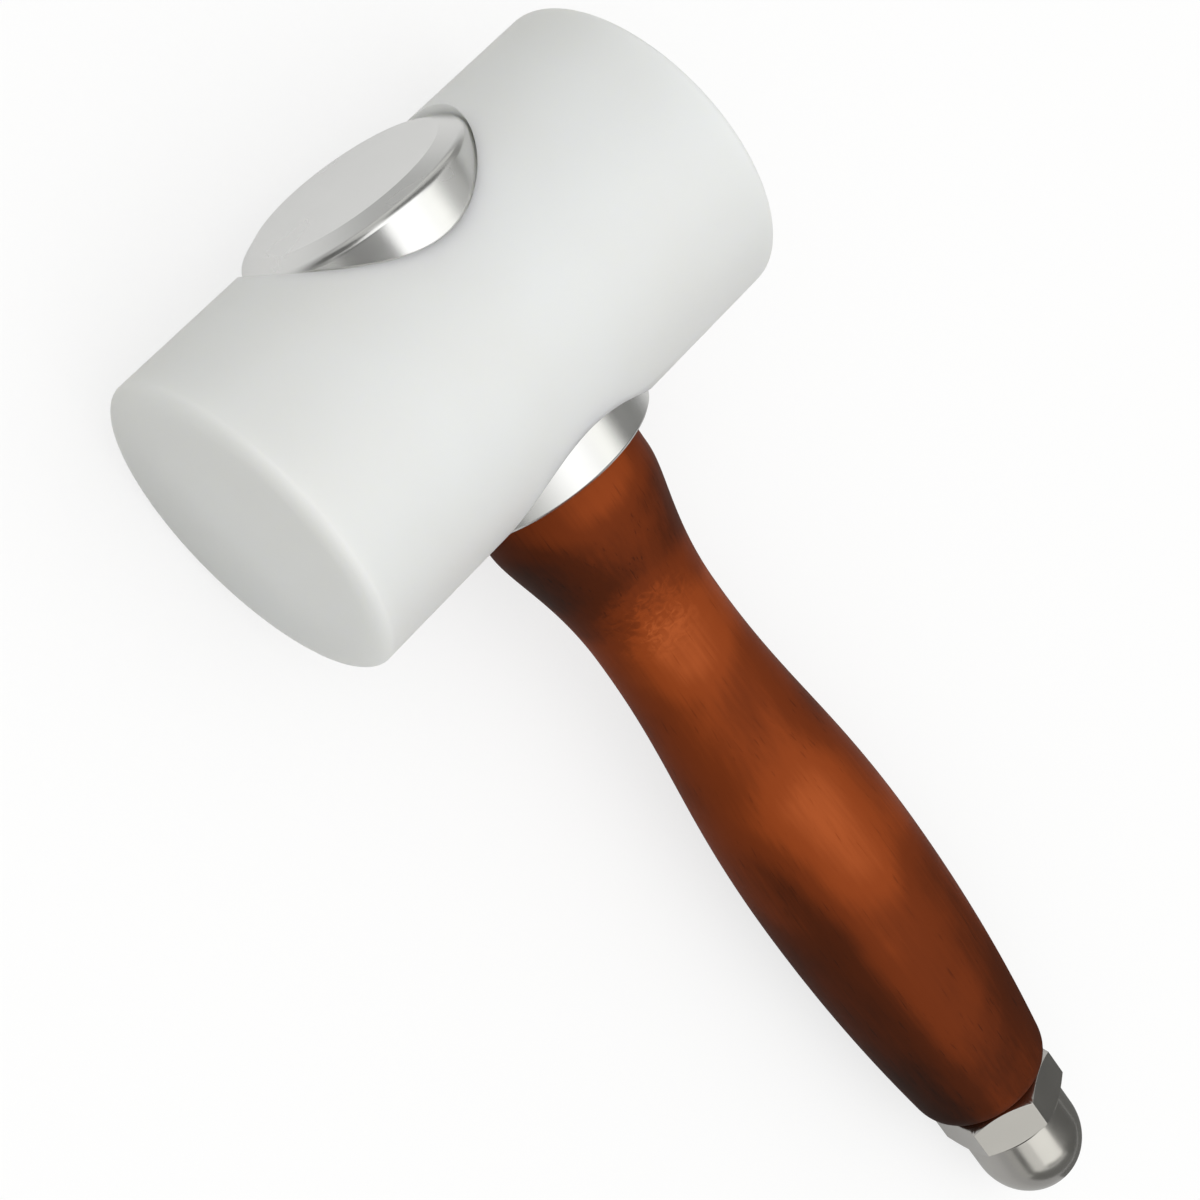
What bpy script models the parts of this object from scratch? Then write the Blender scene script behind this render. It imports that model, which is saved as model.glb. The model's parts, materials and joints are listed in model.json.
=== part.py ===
"""Leathercraft mallet: a plastic head on a turned metal core, a wooden handle and a domed nut.

The pieces are modelled round one axis. Z runs up the handle, the head's own axis runs along X
through the origin, and the parent empty then lays the whole mallet on its side, on z = 0, with
the striking faces towards -X and +X and the handle towards -Y. All sizes are in metres.
"""

import math

import bmesh
import bpy
import numpy as np
from mathutils import Matrix, Vector

# Head: a plain cylinder that lies across the handle
HEAD_RADIUS = 0.0275
HEAD_LENGTH = 0.0912
HEAD_EDGE_RADIUS = 0.0022

# Core: the metal slug that goes through the head and carries the handle
CORE_RADIUS = 0.0200
CORE_LENGTH = 0.0530
CORE_STAND = 0.0002
CORE_TOP_CHAMFER = 0.0016
CORE_FOOT_CHAMFER = 0.0005

# Handle: radii, and their distances from the handle's top
HANDLE_LENGTH = 0.1448
HANDLE_TOP_RADIUS = 0.0151
HANDLE_TOP_EDGE = 0.0006
LIP_LENGTH = 0.0075
NECK_RADIUS = 0.0114
NECK_AT = 0.0332
BELLY_RADIUS = 0.0157
BELLY_AT = 0.0953
BUTT_RADIUS = 0.0129
BUTT_ROUND = 0.0044
BUTT_FACE_RADIUS = 0.0093

# How far each bend of the handle's outline reaches towards the next, as a share of the way
LIP_EASE = 0.20
NECK_EASE_UP = 0.50
NECK_EASE_DOWN = 0.38
BELLY_EASE_UP = 0.48
BELLY_EASE_DOWN = 0.35
BUTT_EASE = 0.33
BUTT_SLOPE = 0.125
ROUND_EASE = 0.55

# Tie rod: a steel stud with plain ends where the real one is threaded
ROD_RADIUS = 0.0060
ROD_SHANK_RADIUS = 0.0054
ROD_IN_CORE = 0.0300
ROD_IN_NUT = 0.0160
ROD_END_CHAMFER = 0.0008
ROD_THREAD_RUNOUT = 0.0012

# Cap nut: a low hexagon with a round dome
NUT_SIDES = 6
NUT_ACROSS_FLATS = 0.0206
NUT_HEX_HEIGHT = 0.0077
NUT_CHAMFER_SLOPE = math.radians(30.0)
NUT_FACE_MARGIN = 0.0002
NUT_TURN = math.radians(-5.0)
NUT_DOME_RADIUS = 0.0099
NUT_HEIGHT = 0.0250
NUT_DOME_HEIGHT = 0.0105

# Clearances: between touching faces, round a held piece, and past a rod's end in its hole
FACE_GAP = 0.0003
FIT_GAP = 0.0003
HOLE_END_GAP = 0.0010

# Fineness of the round shapes
ROUND_STEPS = 72
HANDLE_STEPS = 48
BEND_STEPS = 9
EDGE_STEPS = 4
SHARP_ANGLE = math.radians(35.0)
MERGE_DISTANCE = 0.00001
CUTTER_MARGIN = 0.0050

# Heights along the handle's axis that several pieces share
CORE_TOP_Z = HEAD_RADIUS + CORE_STAND
CORE_FOOT_Z = CORE_TOP_Z - CORE_LENGTH
HANDLE_TOP_Z = CORE_FOOT_Z - FACE_GAP
HANDLE_END_Z = HANDLE_TOP_Z - HANDLE_LENGTH
NUT_FACE_Z = HANDLE_END_Z - FACE_GAP
ROD_TOP_Z = CORE_FOOT_Z + ROD_IN_CORE
ROD_END_Z = NUT_FACE_Z - ROD_IN_NUT

# Radii that are worked out
ROD_HOLE_RADIUS = ROD_RADIUS + FIT_GAP
NUT_CORNER_RADIUS = NUT_ACROSS_FLATS / 2 / math.cos(math.pi / NUT_SIDES)


def clear_scene():
    for obj in list(bpy.data.objects):
        bpy.data.objects.remove(obj, do_unlink=True)


def new_collection(name, hidden=False):
    collection = bpy.data.collections.new(name)
    collection.hide_render = hidden
    bpy.context.scene.collection.children.link(collection)
    return collection


def new_material(name, colour, roughness, metallic=0.0):
    material = bpy.data.materials.new(name)
    material.use_nodes = True
    shader = material.node_tree.nodes["Principled BSDF"]
    shader.inputs["Base Color"].default_value = (*colour, 1.0)
    shader.inputs["Roughness"].default_value = roughness
    shader.inputs["Metallic"].default_value = metallic
    material.diffuse_color = (*colour, 1.0)
    return material


def new_object(name, mesh, collection):
    obj = bpy.data.objects.new(name, mesh)
    collection.objects.link(obj)
    return obj


def new_cutter(name, mesh, collection):
    """A helper body that shapes another piece and is left out of the render."""
    obj = new_object(name, mesh, collection)
    obj.hide_render = True
    obj.display_type = "WIRE"
    return obj


def cylinder_mesh(name, radius, length, steps, turn=None):
    """A capped cylinder round Z with its middle at the origin, turned by a matrix if one is given."""
    mesh = bpy.data.meshes.new(name)
    bm = bmesh.new()
    bmesh.ops.create_cone(
        bm,
        cap_ends=True,
        segments=steps,
        radius1=radius,
        radius2=radius,
        depth=length,
        matrix=turn or Matrix.Identity(4),
    )
    bm.to_mesh(mesh)
    bm.free()
    return mesh


def turned_mesh(name, outline, steps, closed=False):
    """The solid that an outline of (radius, height) points makes when it turns round Z."""
    mesh = bpy.data.meshes.new(name)
    corners = [(radius, 0.0, height) for radius, height in outline]
    edges = [(i, i + 1) for i in range(len(corners) - 1)]
    if closed:
        edges.append((len(corners) - 1, 0))
    mesh.from_pydata(corners, edges, [])
    obj = bpy.data.objects.new(name, mesh)
    bpy.context.scene.collection.objects.link(obj)
    screw = obj.modifiers.new("Turn", "SCREW")
    screw.axis = "Z"
    screw.steps = steps
    screw.render_steps = steps
    screw.use_merge_vertices = True
    screw.merge_threshold = MERGE_DISTANCE
    solid = evaluated_mesh(obj)
    solid.name = name
    bpy.data.objects.remove(obj, do_unlink=True)
    return solid


def evaluated_mesh(obj):
    """The object's mesh as its modifiers leave it."""
    bpy.context.view_layer.update()
    graph = bpy.context.evaluated_depsgraph_get()
    return bpy.data.meshes.new_from_object(obj.evaluated_get(graph))


def add_bevel(obj, width, steps):
    bevel = obj.modifiers.new("Round edges", "BEVEL")
    bevel.width = width
    bevel.segments = steps
    bevel.limit_method = "ANGLE"
    bevel.angle_limit = SHARP_ANGLE


def add_boolean(obj, cutter, operation):
    boolean = obj.modifiers.new(f"{operation.title()} {cutter.name}", "BOOLEAN")
    boolean.operation = operation
    boolean.solver = "EXACT"
    boolean.object = cutter


def finish(obj, material, parent):
    """Makes the modifiers' result the object's own mesh, shades it and hangs it on the parent."""
    mesh = evaluated_mesh(obj)
    obj.modifiers.clear()
    obj.data = mesh
    mesh.name = obj.name
    mesh.materials.clear()
    mesh.materials.append(material)
    mesh.shade_smooth()
    mesh.set_sharp_from_angle(angle=SHARP_ANGLE)
    obj.parent = parent
    return obj


def bend(start, start_reach, end_reach, end, steps=BEND_STEPS):
    """Points of a smooth curve from start to end, without start. The reaches are its handles."""
    p0, p1, p2, p3 = (Vector(p) for p in (start, start_reach, end_reach, end))
    points = []
    for i in range(1, steps + 1):
        t = i / steps
        s = 1.0 - t
        points.append(s**3 * p0 + 3 * s * s * t * p1 + 3 * s * t * t * p2 + t**3 * p3)
    return [(p.x, p.y) for p in points]


def build_head(parts, cutters):
    """The plastic cylinder, with rounded rims and the core's bore through its middle."""
    across = Matrix.Rotation(math.radians(90.0), 4, "Y")
    mesh = cylinder_mesh("head", HEAD_RADIUS, HEAD_LENGTH, ROUND_STEPS, across)
    head = new_object("head", mesh, parts)
    add_bevel(head, HEAD_EDGE_RADIUS, EDGE_STEPS)
    bore_length = 2 * (HEAD_RADIUS + CUTTER_MARGIN)
    bore = cylinder_mesh("core_bore", CORE_RADIUS + FIT_GAP, bore_length, ROUND_STEPS)
    add_boolean(head, new_cutter("core_bore", bore, cutters), "DIFFERENCE")
    return head


def build_core(parts):
    """The metal slug: a chamfered cylinder with a blind hole for the rod in its foot."""
    hole_top = ROD_TOP_Z + HOLE_END_GAP
    outline = [
        (0.0, CORE_TOP_Z),
        (CORE_RADIUS - CORE_TOP_CHAMFER, CORE_TOP_Z),
        (CORE_RADIUS, CORE_TOP_Z - CORE_TOP_CHAMFER),
        (CORE_RADIUS, CORE_FOOT_Z + CORE_FOOT_CHAMFER),
        (CORE_RADIUS - CORE_FOOT_CHAMFER, CORE_FOOT_Z),
        (ROD_HOLE_RADIUS, CORE_FOOT_Z),
        (ROD_HOLE_RADIUS, hole_top),
        (0.0, hole_top),
    ]
    return new_object("core", turned_mesh("core", outline, ROUND_STEPS), parts)


def build_tie_rod(parts):
    """The stud that clamps core, handle and nut together, thinner between its threaded ends."""
    shank_top = CORE_FOOT_Z
    shank_end = NUT_FACE_Z
    outline = [
        (0.0, ROD_TOP_Z),
        (ROD_RADIUS - ROD_END_CHAMFER, ROD_TOP_Z),
        (ROD_RADIUS, ROD_TOP_Z - ROD_END_CHAMFER),
        (ROD_RADIUS, shank_top),
        (ROD_SHANK_RADIUS, shank_top - ROD_THREAD_RUNOUT),
        (ROD_SHANK_RADIUS, shank_end + ROD_THREAD_RUNOUT),
        (ROD_RADIUS, shank_end),
        (ROD_RADIUS, ROD_END_Z + ROD_END_CHAMFER),
        (ROD_RADIUS - ROD_END_CHAMFER, ROD_END_Z),
        (0.0, ROD_END_Z),
    ]
    return new_object("tie_rod", turned_mesh("tie_rod", outline, HANDLE_STEPS), parts)


def handle_outline():
    """The handle's outer side from its top edge to its end face, as (radius, height) points."""
    lip = Vector((HANDLE_TOP_RADIUS, LIP_LENGTH))
    neck = Vector((NECK_RADIUS, NECK_AT))
    belly = Vector((BELLY_RADIUS, BELLY_AT))
    butt = Vector((BUTT_RADIUS, HANDLE_LENGTH - BUTT_ROUND))
    end = Vector((BUTT_FACE_RADIUS, HANDLE_LENGTH))
    slope = Vector((-BUTT_SLOPE, 1.0))
    down = Vector((0.0, 1.0))
    outward = Vector((1.0, 0.0))
    to_neck = neck.y - lip.y
    to_belly = belly.y - neck.y
    to_butt = butt.y - belly.y
    points = [
        (HANDLE_TOP_RADIUS - HANDLE_TOP_EDGE, 0.0),
        (HANDLE_TOP_RADIUS, HANDLE_TOP_EDGE),
        tuple(lip),
    ]
    points += bend(lip, lip + down * LIP_EASE * to_neck, neck - down * NECK_EASE_UP * to_neck, neck)
    points += bend(
        neck, neck + down * NECK_EASE_DOWN * to_belly, belly - down * BELLY_EASE_UP * to_belly, belly
    )
    points += bend(
        belly, belly + down * BELLY_EASE_DOWN * to_butt, butt - slope * BUTT_EASE * to_butt, butt
    )
    points += bend(
        butt,
        butt + slope * ROUND_EASE * BUTT_ROUND,
        end + outward * ROUND_EASE * (BUTT_RADIUS - BUTT_FACE_RADIUS),
        end,
        EDGE_STEPS + 1,
    )
    return [(radius, HANDLE_TOP_Z - distance) for radius, distance in points]


def build_handle(parts):
    """The turned wooden handle, bored from end to end for the rod."""
    outline = handle_outline()
    outline.append((ROD_HOLE_RADIUS, HANDLE_END_Z))
    outline.append((ROD_HOLE_RADIUS, HANDLE_TOP_Z))
    mesh = turned_mesh("handle", outline, HANDLE_STEPS, closed=True)
    return new_object("handle", mesh, parts)


def nut_chamfer_outline():
    """A lens that takes the hexagon's corners off at both of its faces."""
    face_radius = NUT_ACROSS_FLATS / 2 - NUT_FACE_MARGIN
    reach = NUT_CORNER_RADIUS + NUT_FACE_MARGIN
    drop = (reach - face_radius) * math.tan(NUT_CHAMFER_SLOPE)
    back_z = NUT_FACE_Z - NUT_HEX_HEIGHT
    return [
        (0.0, NUT_FACE_Z),
        (face_radius, NUT_FACE_Z),
        (reach, NUT_FACE_Z - drop),
        (reach, back_z + drop),
        (face_radius, back_z),
        (0.0, back_z),
    ]


def nut_dome_outline():
    """The round cap, from inside the hexagon to its tip."""
    tip_z = NUT_FACE_Z - NUT_HEIGHT
    dome_z = tip_z + NUT_DOME_HEIGHT
    inside_z = NUT_FACE_Z - NUT_HEX_HEIGHT / 2
    outline = [(0.0, inside_z), (NUT_DOME_RADIUS, inside_z), (NUT_DOME_RADIUS, dome_z)]
    for i in range(1, BEND_STEPS + 1):
        angle = math.radians(90.0) * i / BEND_STEPS
        radius = NUT_DOME_RADIUS * math.cos(angle) if i < BEND_STEPS else 0.0
        outline.append((radius, dome_z - NUT_DOME_HEIGHT * math.sin(angle)))
    return outline


def build_cap_nut(parts, cutters):
    """The domed nut: a chamfered hexagon joined to a round cap, with a blind hole for the rod."""
    middle_z = NUT_FACE_Z - NUT_HEX_HEIGHT / 2
    place = Matrix.Translation((0.0, 0.0, middle_z)) @ Matrix.Rotation(NUT_TURN, 4, "Z")
    mesh = cylinder_mesh("cap_nut", NUT_CORNER_RADIUS, NUT_HEX_HEIGHT, NUT_SIDES, place)
    nut = new_object("cap_nut", mesh, parts)

    lens = turned_mesh("nut_chamfer", nut_chamfer_outline(), ROUND_STEPS)
    add_boolean(nut, new_cutter("nut_chamfer", lens, cutters), "INTERSECT")

    dome = turned_mesh("nut_dome", nut_dome_outline(), ROUND_STEPS)
    add_boolean(nut, new_cutter("nut_dome", dome, cutters), "UNION")

    hole_top = NUT_FACE_Z + CUTTER_MARGIN
    hole_end = ROD_END_Z - HOLE_END_GAP
    hole = cylinder_mesh("nut_hole", ROD_HOLE_RADIUS, hole_top - hole_end, HANDLE_STEPS)
    cutter = new_cutter("nut_hole", hole, cutters)
    cutter.location.z = (hole_top + hole_end) / 2
    add_boolean(nut, cutter, "DIFFERENCE")
    return nut


def points_of(objects):
    """Every corner of these objects, in their parent's frame."""
    found = []
    for obj in objects:
        found += [obj.matrix_local @ vertex.co for vertex in obj.data.vertices]
    return np.array(found)


def rest_tilt(points):
    """How far the handle drops when the head lies on its side and these points reach the floor.

    A point a distance d from the head's axis, at an angle p over the handle's axis, meets the
    floor once the handle has dropped by asin(head radius / d) - p.
    """
    distance = np.hypot(points[:, 1], points[:, 2])
    beyond = points[distance > HEAD_RADIUS]
    distance = distance[distance > HEAD_RADIUS]
    over = np.arctan2(beyond[:, 1], -beyond[:, 2])
    return float(np.min(np.arcsin(HEAD_RADIUS / distance) - over))


def lay_down(parent, objects, resting):
    """Turns and moves the parent so that the mallet rests on z = 0 with its box round the origin."""
    turn = Matrix.Rotation(rest_tilt(points_of(resting)) - math.radians(90.0), 4, "X")
    laid = points_of(objects) @ np.array(turn.to_3x3()).T
    low = laid.min(axis=0)
    high = laid.max(axis=0)
    middle = (low + high) / 2
    parent.rotation_euler = turn.to_euler()
    parent.location = (-middle[0], -middle[1], -low[2])


def main():
    clear_scene()
    parts = new_collection("leather_mallet")
    cutters = new_collection("cutters", hidden=True)

    mallet = new_object("mallet", None, parts)
    nylon = new_material("white_nylon", (0.80, 0.81, 0.80), 0.45)
    aluminium = new_material("turned_aluminium", (0.72, 0.72, 0.71), 0.28, 1.0)
    steel = new_material("plain_steel", (0.50, 0.50, 0.51), 0.40, 1.0)
    wood = new_material("stained_wood", (0.22, 0.05, 0.015), 0.35)
    chrome = new_material("plated_steel", (0.62, 0.61, 0.60), 0.15, 1.0)

    head = finish(build_head(parts, cutters), nylon, mallet)
    core = finish(build_core(parts), aluminium, mallet)
    tie_rod = finish(build_tie_rod(parts), steel, mallet)
    handle = finish(build_handle(parts), wood, mallet)
    cap_nut = finish(build_cap_nut(parts, cutters), chrome, mallet)

    lay_down(mallet, [head, core, tie_rod, handle, cap_nut], [handle, cap_nut])


main()
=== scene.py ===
"""Leathercraft mallet: the finish of every piece, the studio round it and the photograph's camera.

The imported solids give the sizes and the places. Each piece that shows is modelled again, finer, in
the mallet's own frame, where Z runs up the handle and X runs along the head, and is then laid down
to where its solid lies. All sizes are in metres.
"""

import json
import logging
import math
from dataclasses import dataclass
from enum import Enum

import bmesh
import bpy
import numpy as np
from mathutils import Matrix, Vector


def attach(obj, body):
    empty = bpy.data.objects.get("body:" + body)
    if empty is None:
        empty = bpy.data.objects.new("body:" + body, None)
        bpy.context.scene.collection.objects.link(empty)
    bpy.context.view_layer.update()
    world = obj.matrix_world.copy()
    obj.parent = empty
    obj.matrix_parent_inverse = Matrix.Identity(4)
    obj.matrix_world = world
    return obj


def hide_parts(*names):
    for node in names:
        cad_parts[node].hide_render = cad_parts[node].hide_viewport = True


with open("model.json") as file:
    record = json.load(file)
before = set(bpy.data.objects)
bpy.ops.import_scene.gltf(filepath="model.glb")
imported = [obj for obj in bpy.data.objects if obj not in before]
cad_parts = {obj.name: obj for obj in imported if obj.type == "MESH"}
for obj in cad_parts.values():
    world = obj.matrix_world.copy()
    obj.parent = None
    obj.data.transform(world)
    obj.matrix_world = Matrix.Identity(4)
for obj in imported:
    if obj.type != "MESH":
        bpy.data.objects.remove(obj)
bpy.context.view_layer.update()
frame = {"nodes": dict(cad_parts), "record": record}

Profile = list[tuple[float, float]]
Colour = tuple[float, float, float]
Socket = bpy.types.NodeSocket
Solid = bmesh.types.BMesh

ROUND_STEPS = 256
SHARP_ANGLE = math.radians(32.0)
WELD_DISTANCE = 0.000002
CUTTER_MARGIN = 0.004
FIT_GAP = 0.0003
SOFT_SEGMENTS = 3
NOISE_MIDDLE = (0.3, 0.7)


class Cut(Enum):
    """What a helper solid does to the piece that it meets."""

    TAKE_AWAY = "DIFFERENCE"
    KEEP_INSIDE = "INTERSECT"
    JOIN = "UNION"


@dataclass(frozen=True)
class MalletFrame:
    """The mallet's own frame, as it lies in the row's frame.

    Attributes:
        origin: where the head's axis and the handle's axis meet.
        turn: the rotation from the mallet's frame to the row's.
    """

    origin: Vector
    turn: Matrix

    @classmethod
    def from_record(cls, record: dict) -> "MalletFrame":
        """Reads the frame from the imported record's mounts.

        Args:
            record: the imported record, with both striking faces and the core's disc as mounts.

        Returns:
            The mallet's frame.
        """
        mounts = {mount["name"]: mount for mount in record["mounts"]}
        right = Vector(mounts["strike_face_right"]["pos_m"])
        left = Vector(mounts["strike_face_left"]["pos_m"])
        along = (right - left).normalized()
        up = Vector(mounts["core_disc"]["axis"]).normalized()
        turn = Matrix((along, up.cross(along), up)).transposed()
        return cls((left + right) / 2, turn)

    def matrix(self) -> Matrix:
        """The transform from the mallet's frame to the row's."""
        return Matrix.Translation(self.origin) @ self.turn.to_4x4()

    def extent(self, node: str) -> tuple[Vector, Vector]:
        """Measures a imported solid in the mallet's frame.

        Args:
            node: the solid's node name.

        Returns:
            The lowest and the highest corner of its box.
        """
        back = self.matrix().inverted()
        points = np.array([back @ vertex.co for vertex in frame["nodes"][node].data.vertices])
        return Vector(points.min(axis=0)), Vector(points.max(axis=0))


def arc(centre: tuple[float, float], radius: float, start: float, end: float, steps: int,
        rise: float | None = None) -> Profile:
    """Points along a round corner of a profile.

    Args:
        centre: the corner's centre, as (radius, height).
        radius: the corner's own radius.
        start: the first point's angle, in degrees from outwards towards up.
        end: the last point's angle, in degrees.
        steps: how many straight pieces the corner has.
        rise: the corner's height, where it is oval.

    Returns:
        The points from start to end, as (radius, height).
    """
    height = radius if rise is None else rise
    angles = [math.radians(start + (end - start) * i / steps) for i in range(steps + 1)]
    return [(centre[0] + radius * math.cos(a), centre[1] + height * math.sin(a)) for a in angles]


def bend(start: Vector, start_reach: Vector, end_reach: Vector, end: Vector, steps: int) -> Profile:
    """Points of a smooth curve.

    Args:
        start: where the curve starts.
        start_reach: the handle that the curve leaves its start towards.
        end_reach: the handle that it comes to its end from.
        end: where it ends.
        steps: how many points it gets, without its start.

    Returns:
        The points after start, up to end.
    """
    points = []
    for i in range(1, steps + 1):
        t = i / steps
        s = 1.0 - t
        point = s**3 * start + 3 * s * s * t * start_reach + 3 * s * t * t * end_reach + t**3 * end
        points.append((point.x, point.y))
    return points


def rod_hole(place: MalletFrame) -> tuple[float, float, float]:
    """The hole that the tie rod fits, in the mallet's frame.

    Args:
        place: the mallet's own frame.

    Returns:
        The hole's radius, its lower end's height and its upper end's height.
    """
    low, high = place.extent("tie_rod")
    return (high.x - low.x) / 2 + FIT_GAP, low.z - FIT_GAP, high.z + FIT_GAP


def spin_profile(profile: Profile, closed: bool = False) -> Solid:
    """Turns a profile round Z.

    Args:
        profile: the outline, as (radius, height) points.
        closed: whether the outline's last point joins its first.

    Returns:
        The closed solid, with its faces pointing outwards.
    """
    bm = bmesh.new()
    verts = [bm.verts.new((radius, 0.0, height)) for radius, height in profile]
    pairs = list(zip(verts, verts[1:]))
    if closed:
        pairs.append((verts[-1], verts[0]))
    edges = [bm.edges.new(pair) for pair in pairs]
    bmesh.ops.spin(
        bm, geom=verts + edges, cent=(0, 0, 0), axis=(0, 0, 1), dvec=(0, 0, 0),
        angle=math.tau, steps=ROUND_STEPS, use_merge=True, use_duplicate=False,
    )
    bmesh.ops.remove_doubles(bm, verts=bm.verts, dist=WELD_DISTANCE)
    bmesh.ops.recalc_face_normals(bm, faces=bm.faces)
    return bm


def cut(bm: Solid, helper: Solid, how: Cut) -> Solid:
    """Cuts a solid with a helper solid, or joins them. Both inputs are used up.

    Args:
        bm: the solid that is kept.
        helper: the solid that cuts or joins it.
        how: what the helper does.

    Returns:
        The result.
    """
    pieces = []
    for part in (bm, helper):
        mesh = bpy.data.meshes.new("boolean_part")
        part.to_mesh(mesh)
        part.free()
        obj = bpy.data.objects.new("boolean_part", mesh)
        bpy.context.scene.collection.objects.link(obj)
        pieces.append(obj)
    modifier = pieces[0].modifiers.new("cut", "BOOLEAN")
    modifier.operation = how.value
    modifier.solver = "EXACT"
    modifier.object = pieces[1]
    bpy.context.view_layer.update()
    graph = bpy.context.evaluated_depsgraph_get()
    result = bmesh.new()
    result.from_object(pieces[0], graph)
    for obj in pieces:
        mesh = obj.data
        bpy.data.objects.remove(obj)
        bpy.data.meshes.remove(mesh)
    bmesh.ops.remove_doubles(result, verts=result.verts, dist=WELD_DISTANCE)
    return result


def soften_edges(bm: Solid, width: float, weld: float) -> None:
    """Rounds every sharp edge of a solid a little.

    Args:
        bm: the solid.
        width: how far the rounding reaches on either side.
        weld: corners closer together than this are made one first.
    """
    bmesh.ops.remove_doubles(bm, verts=bm.verts, dist=weld)
    sharp = [e for e in bm.edges if e.is_manifold and e.calc_face_angle(0.0) > SHARP_ANGLE]
    bmesh.ops.bevel(
        bm, geom=sharp, offset=width, offset_type="OFFSET", segments=SOFT_SEGMENTS, profile=0.5,
        affect="EDGES", material=-1, clamp_overlap=True,
    )


class Shader:
    """One node material, put together a node at a time."""

    def __init__(self, name: str) -> None:
        """Starts an empty material.

        Args:
            name: the material's name.
        """
        self.material = bpy.data.materials.new(name)
        self.material.use_nodes = True
        self.tree = self.material.node_tree
        self.tree.nodes.clear()

    def node(self, kind: str, inputs: dict | None = None, **settings: object) -> bpy.types.Node:
        """Adds a node.

        Args:
            kind: the node's type, without its ShaderNode prefix.
            inputs: for each input, its value, or the output that feeds it.
            settings: the node's own settings.

        Returns:
            The new node.
        """
        node = self.tree.nodes.new("ShaderNode" + kind)
        for key, value in settings.items():
            setattr(node, key, value)
        for key, value in (inputs or {}).items():
            if isinstance(value, Socket):
                self.tree.links.new(value, node.inputs[key])
            else:
                node.inputs[key].default_value = value
        return node

    def maths(self, operation: str, *values: object) -> Socket:
        """The result of a Math node on these values or outputs."""
        return self.node("Math", dict(enumerate(values)), operation=operation).outputs[0]

    def vector(self, operation: str, *values: object) -> Socket:
        """The result of a Vector Math node: a number for a length or a product, else a vector."""
        node = self.node("VectorMath", dict(enumerate(values)), operation=operation)
        return node.outputs[operation in ("DISTANCE", "DOT_PRODUCT", "LENGTH")]

    def local_point(self, place: MalletFrame) -> Socket:
        """The surface point in the mallet's own frame, for patterns that follow its axes.

        Args:
            place: the mallet's own frame.

        Returns:
            The point.
        """
        point = self.node("TexCoord").outputs["Object"]
        mapping = self.node("Mapping", {"Vector": point}, vector_type="TEXTURE")
        mapping.inputs["Location"].default_value = place.origin
        mapping.inputs["Rotation"].default_value = place.turn.to_euler()
        return mapping.outputs[0]

    def stretched(self, point: Socket, scale: tuple[float, float, float]) -> Socket:
        """The point scaled by an amount of its own along each axis."""
        return self.node("Mapping", {"Vector": point, "Scale": scale}).outputs[0]

    def noise(self, point: Socket, scale: float, detail: float, distortion: float = 0.0) -> Socket:
        """A cloudy pattern.

        Args:
            point: the point that it is read at.
            scale: how many lumps it has in a metre.
            detail: how many finer layers lie on the first.
            distortion: how much its lumps are swirled.

        Returns:
            The pattern's height, from 0 to 1.
        """
        inputs = {"Vector": point, "Scale": scale, "Detail": detail, "Distortion": distortion}
        return self.node("TexNoise", inputs).outputs[0]

    def ramp(self, factor: Socket, stops: list[tuple[float, Colour]]) -> Socket:
        """A colour that changes smoothly from stop to stop.

        Args:
            factor: the value that picks the colour.
            stops: the colours, each with the value that it belongs to.

        Returns:
            The colour.
        """
        node = self.node("ValToRGB", {"Fac": factor})
        node.color_ramp.interpolation = "EASE"
        elements = node.color_ramp.elements
        while len(elements) < len(stops):
            elements.new(0.5)
        for element, (position, colour) in zip(elements, stops):
            element.position = position
            element.color = (*colour, 1.0)
        return node.outputs[0]

    def span(self, value: Socket, low: float, high: float, new_low: float,
             new_high: float, smooth: bool = False) -> Socket:
        """Moves a value from one range to another, and holds it at the ends.

        Args:
            value: the value.
            low: where the old range starts.
            high: where it ends.
            new_low: what the old range's start becomes.
            new_high: what its end becomes.
            smooth: whether the change eases in and out.

        Returns:
            The moved value.
        """
        inputs = {"Value": value, "From Min": low, "From Max": high, "To Min": new_low, "To Max": new_high}
        style = "SMOOTHSTEP" if smooth else "LINEAR"
        return self.node("MapRange", inputs, interpolation_type=style).outputs[0]

    def blend(self, factor: Socket, first: object, second: object) -> Socket:
        """Mixes two colours.

        Args:
            factor: the second colour's share.
            first: the first colour, or the output that gives it.
            second: the second colour, likewise.

        Returns:
            The mixed colour.
        """
        node = self.node("Mix", data_type="RGBA")
        for index, value in ((0, factor), (6, first), (7, second)):
            if isinstance(value, Socket):
                self.tree.links.new(value, node.inputs[index])
            else:
                node.inputs[index].default_value = value if index == 0 else (*value, 1.0)
        return node.outputs[2]

    def bump(self, height: Socket, depth: float, below: object = None) -> Socket:
        """Tilts the surface direction by a height pattern.

        Args:
            height: the pattern.
            depth: how high a pattern value of one stands.
            below: the direction that it is laid on, where that isn't the surface's own.

        Returns:
            The tilted direction.
        """
        inputs = {"Height": height, "Strength": 1.0, "Distance": depth}
        if below is not None:
            inputs["Normal"] = below
        return self.node("Bump", inputs).outputs[0]

    def surface(self, shader: bpy.types.Node) -> bpy.types.Material:
        """Ends the material with this shader and returns it."""
        self.node("OutputMaterial", {"Surface": shader.outputs[0]})
        return self.material


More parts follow.
